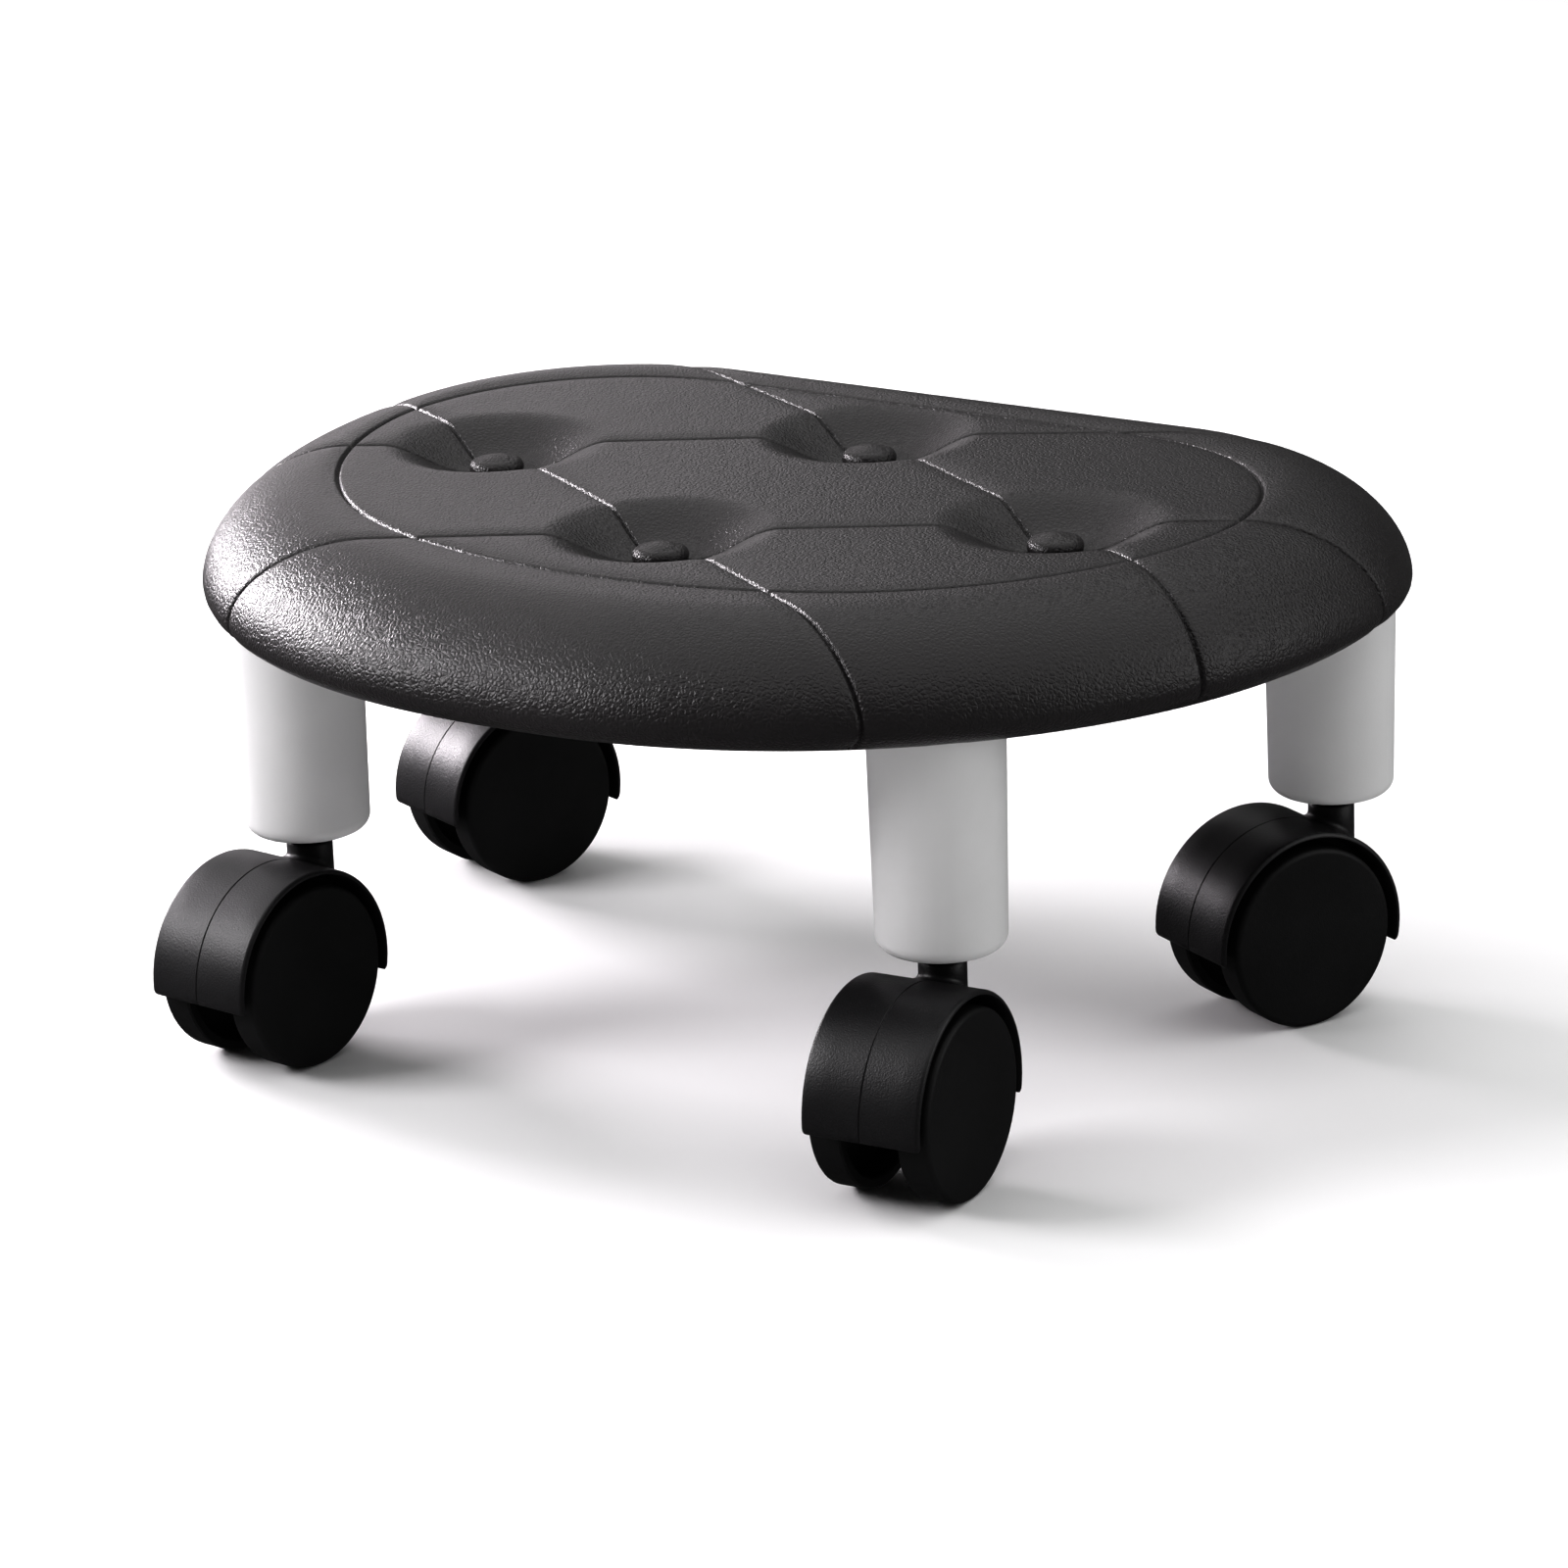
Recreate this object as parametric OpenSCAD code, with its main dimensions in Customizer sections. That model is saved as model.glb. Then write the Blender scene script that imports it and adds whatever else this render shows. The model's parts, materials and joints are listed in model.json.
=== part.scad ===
// Low rolling pedicure stool: a grained cushion on a moulded base board,
// four screw-in legs, and a twin-wheel swivel caster under each leg.
// Millimetres. +Z up, +X along the wide side, rounded front towards -Y, floor at Z = 0.

/* [Seat] */
// Height of the seat's top face above the floor
seat_top = 149.2; // [145:0.1:165]
// Radius of the outline at the middle of the front
front_r = 270; // [240:5:300]
// Angle that the front arc turns on each side of the middle
front_turn = 5; // [4:1:8]
// Radius of the outline along each side
side_r = 156.8; // [154:0.1:160]
// Angle that each side arc turns
side_turn = 94; // [92:1:95]
// Radius of each back corner
corner_r = 90.4; // [89:0.1:92]
// Width of the rounded rim, from the outline in to the flat top
rim_w = 33.4; // [30:0.2:38]
// Height of the flat top above the widest part of the rim
rim_h = 24.9; // [22:0.1:27]
// Fullness of the rim's section: 2 is an ellipse, less is flatter
rim_power = 1.8; // [1.6:0.1:2.2]
// Height of the rim below its widest part
skirt_h = 7.8; // [7.6:0.1:9]
// How far the rim pulls in below its widest part
skirt_in = 13; // [10:0.5:13]

/* [Buttons] */
// Half the distance between the left and right buttons
button_x = 89.4; // [80:0.2:96]
// Half the distance between the front and back buttons
button_y = 50.8; // [44:0.2:56]
// How far the middle of the four buttons lies behind the seat's middle
button_shift = 8; // [4:0.1:10]
// Diameter of a button's cap
button_d = 15; // [12:0.5:18]
// Diameter of the dimple that a button pulls into the cushion
dimple_d = 50; // [40:1:56]
// Depth of a dimple
dimple_h = 8; // [6:0.5:9]

/* [Legs] */
// Half the distance between the front legs
front_leg_x = 100.7; // [90:0.1:105]
// How far the front legs stand in front of the seat's middle
front_leg_y = 70.4; // [60:0.1:72]
// Half the distance between the back legs
back_leg_x = 129; // [120:0.5:130]
// How far the back legs stand behind the seat's middle
back_leg_y = 83.8; // [75:0.1:84]
// Height of a leg's lower face above the floor
leg_bottom = 59.2; // [58:0.2:62]
// Outer diameter at a leg's lower end
leg_d = 33.8; // [32:0.2:35]
// How much thicker a leg is at its upper end
leg_taper = 1.7; // [1:0.1:2]
// Wall thickness of a leg
leg_wall = 2.5; // [2:0.1:3]
// Radius of the rounded lower edge
leg_round = 4; // [2:0.5:5]

/* [Casters] */
// Diameter of a wheel
wheel_d = 50; // [48:1:50]
// Width over the outer faces of both wheels
wheel_span = 34.6; // [33.6:0.2:36]
// Width of one wheel's tread
tread_w = 9.3; // [8:0.1:10]
// Distance from the swivel axis to the wheel axle
trail = 17.9; // [16:0.1:19]
// Outer radius of the hood over the wheels
hood_r = 29.2; // [28.6:0.1:29.4]
// Width of the hood
hood_w = 33; // [32:0.2:33.4]
// Thickness of the hood's shell
hood_wall = 2.1; // [1.8:0.1:2.2]
// Height of the hood's open edge above the floor, at the axle
hood_edge = 20.5; // [19:0.5:23]
// Slope of that edge, which rises away from the swivel axis
hood_tilt = 4; // [0:1:5]
// Diameter of the hood's neck
neck_d = 12.5; // [12:0.1:13]
// Diameter of the steel axle
axle_d = 6; // [5:0.5:6]
// Direction that the front left caster trails in, counted from +X
front_left_trail = -95; // [-180:1:180]
// Direction that the front right caster trails in
front_right_trail = -85.5; // [-180:0.5:180]
// Direction that the back right caster trails in
back_right_trail = -116.5; // [-180:0.5:180]
// Direction that the back left caster trails in
back_left_trail = -111; // [-180:1:180]

/* [Stem] */
// Diameter of the stem in its socket
stem_d = 11; // [10.5:0.1:11]
// Height that the stem reaches above the leg's lower face
stem_rise = 27; // [24:1:30]
// Diameter of the pivot that the hood turns on
pivot_d = 8; // [7.5:0.1:8]

/* [Hidden] */
$fn = 96;
running = 0.05;     // radial clearance of a turning fit
gap = 0.3;          // clearance between faces that pass each other
eps = 0.01;         // overshoot of a cutting tool past a face
rim_steps = 10;     // segments of the rim's section, above its widest part
skirt_steps = 4;    // segments of the section below it
front_steps = 2;    // segments of each half of the front arc
side_steps = 24;    // segments of each side arc
corner_steps = 22;  // segments of each back corner

// Seat heights, from the top down
rim_z = seat_top - rim_h;
cushion_z = rim_z - skirt_h;
board_t = 4.5;
board_top = cushion_z + 8;
board_z = board_top - board_t;
board_in = 18;          // how far the board lies inside the outline
board_lobe_r = 14;      // radius of the board around each T-nut
board_fit = 0.2;        // clearance of the board and the legs in the cushion
board_rib_h = 2.5;
board_rib_w = 2;

// Seat outline: the front, side and corner arcs meet with the same direction
side_start = front_turn;
corner_start = front_turn + side_turn;
corner_turn = 180 - corner_start;
side_run = side_r * (sin(corner_start) - sin(side_start));
side_rise = side_r * (cos(side_start) - cos(corner_start));
seat_depth = front_r * (1 - cos(side_start)) + side_rise + corner_r * (1 + cos(corner_start));
front_y = -seat_depth / 2;
front_c = [0, front_y + front_r];
side_c = front_c + (front_r - side_r) * [sin(side_start), -cos(side_start)];
corner_c = side_c + (side_r - corner_r) * [sin(corner_start), -cos(corner_start)];

// Places of the buttons and the legs
buttons = [for (p = [[1, 0], [-1, 0], [0, 1], [0, -1]])
    [p.x * button_x, button_shift + p.y * button_y]];
front_left = [-front_leg_x, -front_leg_y];
front_right = [front_leg_x, -front_leg_y];
back_right = [back_leg_x, back_leg_y];
back_left = [-back_leg_x, back_leg_y];
legs = [front_left, front_right, back_right, back_left];

// Leg section
leg_h = board_z - leg_bottom;
leg_r0 = leg_d / 2;
leg_r1 = leg_r0 + leg_taper / 2;
leg_floor = 3;
leg_rib = 2;
column_r = 9;
socket_r = 7;
socket_h = 30;
stud_r = 4;             // M8 stud
stud_in_leg = 18;
stud_in_board = 6.5;
t_nut_r = 5.2;
t_nut_flange_r = 11;
t_nut_flange_t = 1.4;

// Caster section
wheel_r = wheel_d / 2;
axle_z = wheel_r;
web_t = 12;
wheel_out = wheel_span / 2;
wheel_in = wheel_out - tread_w;
wheel_edge = 1;         // rounding of a wheel's outer edge
wheel_disc = 2.2;
wheel_rim = 3;
hub_r = 6.5;
axle_half = wheel_out - wheel_disc - 1;
collar_h = 3;
neck_top = leg_bottom - collar_h - gap;
pivot_z = axle_z + 4;
web_front = 8;          // how far the web reaches past the axle
ring_z = 17;            // height of the grip ring above the leg's lower face
ring_h = 4;
ring_depth = 1;

// ---- Seat ----

// Points along one arc of the outline, on the right-hand side, from one direction to another
function arc_points(centre, radius, from, to, steps) = [for (i = [1 : steps])
    let (a = from + (to - from) * i / steps)
        centre + radius * [sin(a), -cos(a)]];

// Right half of the outline, set in by a distance, from the front to the back
function half_outline(inset) = concat(
    arc_points(front_c, front_r - inset, 0, side_start, front_steps),
    arc_points(side_c, side_r - inset, side_start, corner_start, side_steps),
    arc_points(corner_c, corner_r - inset, corner_start, 180, corner_steps)
);

// The whole outline, counter-clockwise
function outline(inset) =
    let (right = half_outline(inset), last = len(right) - 1)
        concat([[0, front_y + inset]], right, [for (i = [last : -1 : 0]) [-right[i].x, right[i].y]]);

// A solid that fills the outline; its edge's section gives inset and height from the bottom up
module seat_solid(section) {
    rings = [for (p = section) outline(p.x)];
    n = len(rings[0]);
    top = len(section) - 1;
    points = [for (k = [0 : top]) for (q = rings[k]) [q.x, q.y, section[k].y]];
    sides = [for (k = [0 : top - 1]) for (i = [0 : n - 1])
        let (j = (i + 1) % n)
            [k * n + i, (k + 1) * n + i, (k + 1) * n + j, k * n + j]];
    polyhedron(points, concat(
        [[for (i = [0 : n - 1]) i]],
        sides,
        [[for (i = [n - 1 : -1 : 0]) top * n + i]]
    ), convexity = 4);
}

// Section of the cushion's rim: a quarter oval up to the flat top, a quarter ellipse down to the skirt
function rim_section() = concat(
    [for (i = [0 : skirt_steps]) let (a = 90 * (1 - i / skirt_steps))
        [skirt_in * (1 - cos(a)), rim_z - skirt_h * sin(a)]],
    [for (i = [1 : rim_steps]) let (a = 90 * i / rim_steps)
        [rim_w * (1 - pow(cos(a), 2 / rim_power)), rim_z + rim_h * pow(sin(a), 2 / rim_power)]]
);

module dimple() {
    r = (pow(dimple_d / 2, 2) + pow(dimple_h, 2)) / (2 * dimple_h);
    translate([0, 0, seat_top - dimple_h + r])
        sphere(r);
}

// The board's plate: the outline set in, with a lobe around each T-nut
module board_plate(grow) {
    polygon(outline(board_in - grow));
    for (p = legs)
        translate(p)
            circle(board_lobe_r + grow);
}

module seat_cushion() {
    color([0.17, 0.15, 0.16])
        difference() {
            seat_solid(rim_section());
            translate([0, 0, cushion_z - eps])
                linear_extrude(board_top - cushion_z + eps)
                    board_plate(board_fit);
            for (p = buttons)
                translate(p) {
                    dimple();
                    translate([0, 0, cushion_z])
                        cylinder(h = rim_h + skirt_h, d = 5);
                    translate([0, 0, seat_top - dimple_h - 2])
                        cylinder(h = rim_h, d = button_d + 1);
                }
            for (p = legs)
                translate([p.x, p.y, cushion_z - eps])
                    cylinder(h = board_z - cushion_z + eps, r = leg_r1 + board_fit);
        }
}

// A domed cap on a shank that passes through the cushion and the board
module seat_buttons() {
    cap_z = seat_top - dimple_h - 2;
    cap_h = 4.2;
    shank_r = 2.4;
    cap_r = button_d / 2;
    dome_r = (cap_r * cap_r + pow(cap_h - 1, 2)) / (2 * (cap_h - 1));
    color([0.15, 0.13, 0.14])
        for (p = buttons)
            translate(p) {
                intersection() {
                    translate([0, 0, cap_z])
                        cylinder(h = cap_h, r = cap_r);
                    translate([0, 0, cap_z + cap_h - dome_r])
                        sphere(dome_r);
                }
                translate([0, 0, board_z - 1.5])
                    cylinder(h = cap_z - board_z + 2, r = shank_r);
                translate([0, 0, board_z - 2])
                    cylinder(h = 2 - eps, r1 = shank_r, r2 = shank_r + 1);
            }
}

// Moulded board under the cushion, with stiffening ribs and a bore for each T-nut
module seat_board() {
    color([0.22, 0.21, 0.21])
        difference() {
            union() {
                translate([0, 0, board_z])
                    linear_extrude(board_t)
                        board_plate(0);
                for (a = [0, 60, 120])
                    translate([0, button_shift, board_z])
                        rotate([0, 0, a])
                            translate([-75, -board_rib_w / 2, -board_rib_h])
                                cube([150, board_rib_w, board_rib_h + eps]);
            }
            for (p = legs)
                translate(p) {
                    translate([0, 0, board_z - eps])
                        cylinder(h = board_t + 2 * eps, r = t_nut_r);
                    translate([0, 0, board_top - t_nut_flange_t])
                        cylinder(h = t_nut_flange_t + eps, r = t_nut_flange_r);
                }
            for (p = buttons)
                translate([p.x, p.y, board_z - board_rib_h - eps])
                    cylinder(h = board_t + board_rib_h + 2 * eps, r = 2.5);
        }
}

module leg_t_nuts() {
    color([0.7, 0.71, 0.72])
        for (p = legs)
            translate(p)
                difference() {
                    union() {
                        translate([0, 0, board_z])
                            cylinder(h = board_t, r = t_nut_r);
                        translate([0, 0, board_top - t_nut_flange_t])
                            cylinder(h = t_nut_flange_t, r = t_nut_flange_r);
                    }
                    translate([0, 0, board_z - eps])
                        cylinder(h = board_t + 2 * eps, r = stud_r);
                }
}

module leg_studs() {
    color([0.7, 0.71, 0.72])
        for (p = legs)
            translate([p.x, p.y, board_z - stud_in_leg])
                cylinder(h = stud_in_leg + board_t - 0.2, r = stud_r);
}

// ---- Legs ----

// Upright half section of a leg's outside, with its lower edge rounded
module leg_outside() {
    polygon([[0, 0], [leg_r0 - leg_round, 0], [leg_r0, leg_round], [leg_r1, leg_h], [0, leg_h]]);
    translate([leg_r0 - leg_round, leg_round])
        circle(leg_round);
}

module leg(place) {
    inner_r = leg_r0 - leg_wall;
    color([0.86, 0.86, 0.86])
        translate([place.x, place.y, leg_bottom])
            difference() {
                union() {
                    rotate_extrude()
                        difference() {
                            leg_outside();
                            translate([0, leg_floor])
                                square([inner_r, leg_h]);
                        }
                    cylinder(h = leg_h, r = column_r);
                    for (a = [0, 90])
                        rotate([0, 0, a])
                            translate([-inner_r - 1, -leg_rib / 2, 1])
                                cube([2 * inner_r + 2, leg_rib, leg_h - 1 - gap]);
                }
                translate([0, 0, -eps])
                    cylinder(h = socket_h + eps, r = socket_r);
                translate([0, 0, leg_h - stud_in_leg])
                    cylinder(h = stud_in_leg + eps, r = stud_r);
            }
}

// ---- Casters ----

// Plastic sleeve pressed into a leg, which the grip ring holds the stem in
module stem_socket(place) {
    color([0.12, 0.12, 0.13])
        translate([place.x, place.y, leg_bottom])
            difference() {
                cylinder(h = socket_h, r = socket_r);
                translate([0, 0, -eps])
                    cylinder(h = socket_h + 2 * eps, r = stem_d / 2 + running);
            }
}

// Steel stem: pivot, collar, shank with a groove for the grip ring, and a chamfered tip
module stem(place) {
    r = stem_d / 2;
    tip = 2;
    color([0.1, 0.1, 0.11])
        translate([place.x, place.y, leg_bottom])
            difference() {
                union() {
                    translate([0, 0, pivot_z - leg_bottom])
                        cylinder(h = leg_bottom - pivot_z, r = pivot_d / 2 - running);
                    translate([0, 0, -collar_h])
                        cylinder(h = collar_h, d = neck_d);
                    translate([0, 0, -eps])
                        cylinder(h = stem_rise - tip + eps, r = r);
                    translate([0, 0, stem_rise - tip])
                        cylinder(h = tip, r1 = r, r2 = r - tip / 2);
                }
                translate([0, 0, ring_z])
                    difference() {
                        cylinder(h = ring_h, r = r + 1);
                        translate([0, 0, -eps])
                            cylinder(h = ring_h + 2 * eps, r = r - ring_depth);
                    }
            }
}

// Split spring ring in the stem's groove
module grip_ring(place) {
    r = stem_d / 2;
    clear = 0.1;
    color([0.75, 0.76, 0.77])
        translate([place.x, place.y, leg_bottom + ring_z + clear])
            rotate([0, 0, 20])
                rotate_extrude(angle = 320)
                    translate([r - ring_depth, 0])
                        square([ring_depth, ring_h - 2 * clear]);
}

// Puts a caster's piece, drawn with its swivel axis at the origin and its trail along +X, under a leg
module at_caster(place, direction) {
    translate([place.x, place.y, 0])
        rotate([0, 0, direction])
            children();
}

// A cylinder along the axle, centred between the wheels
module across(radius, width) {
    translate([trail, width / 2, axle_z])
        rotate([90, 0, 0])
            cylinder(h = width, r = radius);
}

// Arched hood: a shell over both wheels, a web between them, and the neck that turns on the pivot
module hood(place, direction) {
    inside_r = hood_r - hood_wall;
    axle_boss_r = 7;
    color([0.13, 0.13, 0.14])
        at_caster(place, direction)
            difference() {
                union() {
                    difference() {
                        across(hood_r, hood_w);
                        across(inside_r, hood_w + 1);
                    }
                    intersection() {
                        across(inside_r + 1, web_t);
                        translate([trail - hood_r, -web_t / 2, hood_edge - hood_r / 4])
                            cube([hood_r + web_front, web_t, 2 * hood_r]);
                    }
                    across(axle_boss_r, web_t);
                    translate([0, 0, pivot_z])
                        cylinder(h = neck_top - pivot_z, d = neck_d);
                }
                difference() {
                    translate([trail, 0, hood_edge])
                        rotate([0, -hood_tilt, 0])
                            translate([-2 * hood_r, -hood_w / 2 - 1, -2 * hood_r])
                                cube([4 * hood_r, hood_w + 2, 2 * hood_r]);
                    across(axle_boss_r, web_t + 2);
                }
                translate([0, 0, pivot_z - 1])
                    cylinder(h = neck_top, d = pivot_d);
                across(axle_d / 2, web_t + 1);
            }
}

module axle(place, direction) {
    color([0.7, 0.71, 0.72])
        at_caster(place, direction)
            across(axle_d / 2, 2 * axle_half);
}

// One wheel: outer disc, tread ring and hub, open towards the hood's web
module wheel(place, direction, side) {
    color([0.1, 0.1, 0.105])
        at_caster(place, direction)
            translate([trail, 0, axle_z])
                rotate([side * -90, 0, 0])
                    rotate_extrude()
                        wheel_section();
}

// Half section of a wheel, with x along its radius and y along the axle, outwards
module wheel_section() {
    bore_r = axle_d / 2 + running;
    hub_in = web_t / 2 + gap;
    bore_end = axle_half + gap;
    difference() {
        union() {
            translate([0, wheel_out - wheel_disc])
                square([wheel_r - wheel_edge, wheel_disc]);
            translate([wheel_r - wheel_rim, wheel_in])
                square([wheel_rim, tread_w - wheel_edge]);
            translate([0, hub_in])
                square([hub_r, wheel_out - hub_in]);
            translate([wheel_r - wheel_edge, wheel_out - wheel_edge])
                circle(wheel_edge);
        }
        translate([-eps, hub_in - eps])
            square([bore_r + eps, bore_end - hub_in + eps]);
    }
}

// ---- Assembly ----

seat_cushion();
seat_buttons();
seat_board();
leg_t_nuts();
leg_studs();

leg(front_left);  // leg_front_left
leg(front_right);  // leg_front_right
leg(back_right);  // leg_back_right
leg(back_left);  // leg_back_left

stem_socket(front_left);  // socket_front_left
stem(front_left);  // stem_front_left
grip_ring(front_left);  // grip_ring_front_left
hood(front_left, front_left_trail);  // hood_front_left
axle(front_left, front_left_trail);  // axle_front_left
wheel(front_left, front_left_trail, -1);  // wheel_inner_front_left
wheel(front_left, front_left_trail, 1);  // wheel_outer_front_left

stem_socket(front_right);  // socket_front_right
stem(front_right);  // stem_front_right
grip_ring(front_right);  // grip_ring_front_right
hood(front_right, front_right_trail);  // hood_front_right
axle(front_right, front_right_trail);  // axle_front_right
wheel(front_right, front_right_trail, -1);  // wheel_inner_front_right
wheel(front_right, front_right_trail, 1);  // wheel_outer_front_right

stem_socket(back_right);  // socket_back_right
stem(back_right);  // stem_back_right
grip_ring(back_right);  // grip_ring_back_right
hood(back_right, back_right_trail);  // hood_back_right
axle(back_right, back_right_trail);  // axle_back_right
wheel(back_right, back_right_trail, -1);  // wheel_inner_back_right
wheel(back_right, back_right_trail, 1);  // wheel_outer_back_right

stem_socket(back_left);  // socket_back_left
stem(back_left);  // stem_back_left
grip_ring(back_left);  // grip_ring_back_left
hood(back_left, back_left_trail);  // hood_back_left
axle(back_left, back_left_trail);  // axle_back_left
wheel(back_left, back_left_trail, -1);  // wheel_inner_back_left
wheel(back_left, back_left_trail, 1);  // wheel_outer_back_left
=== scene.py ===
import json
import math
import bpy
import bmesh
import numpy as np
from mathutils import Matrix, Vector


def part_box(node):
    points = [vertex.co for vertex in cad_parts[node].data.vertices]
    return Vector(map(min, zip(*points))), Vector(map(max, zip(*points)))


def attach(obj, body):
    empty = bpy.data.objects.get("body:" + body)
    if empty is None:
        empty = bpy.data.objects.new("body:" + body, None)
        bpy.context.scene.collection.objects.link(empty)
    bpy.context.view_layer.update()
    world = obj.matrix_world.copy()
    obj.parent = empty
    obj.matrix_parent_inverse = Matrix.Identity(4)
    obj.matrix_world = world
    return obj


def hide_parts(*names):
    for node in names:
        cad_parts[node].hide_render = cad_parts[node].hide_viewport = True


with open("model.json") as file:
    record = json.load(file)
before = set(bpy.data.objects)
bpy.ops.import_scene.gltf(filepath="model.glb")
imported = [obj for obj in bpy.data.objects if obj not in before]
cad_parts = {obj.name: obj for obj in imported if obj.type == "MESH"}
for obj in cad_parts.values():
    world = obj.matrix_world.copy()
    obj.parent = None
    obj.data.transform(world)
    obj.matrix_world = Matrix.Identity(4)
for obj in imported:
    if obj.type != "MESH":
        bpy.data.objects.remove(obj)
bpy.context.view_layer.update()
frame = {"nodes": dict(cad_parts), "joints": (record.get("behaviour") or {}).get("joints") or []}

MM = 0.001
CORNERS = ("front_left", "front_right", "back_right", "back_left")
ROOT = "seat_frame"
JOINTS = {joint["name"]: joint for joint in frame["joints"]}


# ---- Camera ----

CAMERA_PLACE = (0.83624, -1.23360, 0.55857)
CAMERA_HEADING = math.radians(33.9)     # from straight along +Y, towards -X
CAMERA_DIP = math.radians(18.3)
CAMERA_ROLL = math.radians(-2.15)
CAMERA_LENS = 133.26                    # for a sensor 36 mm wide


def make_camera():
    data = bpy.data.cameras.new("camera")
    data.lens = CAMERA_LENS
    data.sensor_width = 36.0
    camera = bpy.data.objects.new("camera", data)
    turn = Matrix.Rotation(CAMERA_HEADING, 4, "Z")
    tilt = Matrix.Rotation(math.pi / 2 - CAMERA_DIP, 4, "X")
    roll = Matrix.Rotation(CAMERA_ROLL, 4, "Z")
    camera.matrix_world = Matrix.Translation(CAMERA_PLACE) @ turn @ tilt @ roll
    bpy.context.scene.collection.objects.link(camera)
    bpy.context.scene.camera = camera


# ---- Mesh helpers ----

def add_mesh(name, verts, faces, smooth=True):
    mesh = bpy.data.meshes.new(name)
    mesh.from_pydata([tuple(v) for v in verts], [], faces)
    mesh.validate()
    mesh.polygons.foreach_set("use_smooth", [smooth] * len(mesh.polygons))
    obj = bpy.data.objects.new(name, mesh)
    bpy.context.scene.collection.objects.link(obj)
    return obj


def smoothstep(low, high, x):
    t = np.clip((x - low) / (high - low), 0.0, 1.0)
    return t * t * (3 - 2 * t)


def heading_vector(angle):
    """A unit vector in plan, at an angle from -Y towards +X."""
    return np.array([math.sin(angle), -math.cos(angle)])


def arc(centre, radius, start, end, steps):
    """Points of an arc, ends included, as (across, up) with angles in degrees from across towards up."""
    points = []
    for i in range(steps + 1):
        a = math.radians(start + (end - start) * i / steps)
        points.append((centre[0] + radius * math.cos(a), centre[1] + radius * math.sin(a)))
    return points


def joined(parts):
    """One list of vertices and one of faces from several (vertices, faces) pairs."""
    verts = []
    faces = []
    for part_verts, part_faces in parts:
        first = len(verts)
        verts += [tuple(v) for v in part_verts]
        faces += [tuple(first + i for i in face) for face in part_faces]
    return verts, faces


def lathe(profile, segments=64):
    """A closed turned body about Z: the profile's (radius, z) points run from the axis to the axis."""
    ring = [(math.cos(2 * math.pi * i / segments), math.sin(2 * math.pi * i / segments))
            for i in range(segments)]
    inner = profile[1:-1]
    verts = [(0, 0, profile[0][1])]
    for radius, z in inner:
        verts += [(radius * c, radius * s, z) for c, s in ring]
    verts.append((0, 0, profile[-1][1]))
    last = len(verts) - 1
    faces = []
    for i in range(segments):
        j = (i + 1) % segments
        faces.append((0, 1 + i, 1 + j))
        for k in range(len(inner) - 1):
            a = 1 + k * segments
            b = a + segments
            faces.append((a + i, b + i, b + j, a + j))
        a = 1 + (len(inner) - 1) * segments
        faces.append((a + i, last, a + j))
    return verts, faces


def moved(part, matrix):
    verts, faces = part
    return [tuple(matrix @ Vector(v)) for v in verts], faces


def outward(obj):
    """Turns every face of a closed mesh outwards."""
    mesh = bmesh.new()
    mesh.from_mesh(obj.data)
    bmesh.ops.recalc_face_normals(mesh, faces=mesh.faces[:])
    mesh.to_mesh(obj.data)
    mesh.free()


def keep_creases(obj, degrees):
    """Smooth shading everywhere but across edges sharper than an angle."""
    obj.data.polygons.foreach_set("use_smooth", [True] * len(obj.data.polygons))
    obj.data.set_sharp_from_angle(angle=math.radians(degrees))


def piece(name, part, material, body, node, crease=35):
    """A finished piece that stands for a CAD node."""
    obj = add_mesh(name, *part)
    outward(obj)
    keep_creases(obj, crease)
    obj.data.materials.append(material)
    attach(obj, body)
    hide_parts(node)
    return obj


# ---- Seat outline ----

# The arcs repeat the CAD's radii and turns; their place comes from the cushion's box.
SEAT_LOW, SEAT_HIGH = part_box("seat_cushion")
SEAT_TOP = SEAT_HIGH.z
OUTLINE = ((270 * MM, math.radians(5)), (156.8 * MM, math.radians(99)), (90.4 * MM, math.pi))
RIM_W = 33.4 * MM
RIM_H = 24.9 * MM
RIM_POWER = 1.8
RIM_Z = SEAT_TOP - RIM_H
SKIRT_H = RIM_Z - SEAT_LOW.z
SKIRT_IN = 13 * MM
BOARD_IN = 18 * MM
BOARD_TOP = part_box("seat_board")[1].z

# The seam that runs around inside the rim has its own, rounder shape.
RING = ((177.3 * MM, math.radians(19.7)), (110.1 * MM, math.radians(82)), (65.3 * MM, math.pi))
RING_FRONT = 45.5 * MM      # from the front of the outline


def arc_centres(front_y, arcs):
    """Centres of the front, side and corner arcs, which meet with the same heading."""
    centres = [np.array([0.0, front_y + arcs[0][0]])]
    for (radius, end), (next_radius, _) in zip(arcs, arcs[1:]):
        centres.append(centres[-1] + (radius - next_radius) * heading_vector(end))
    return centres


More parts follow.
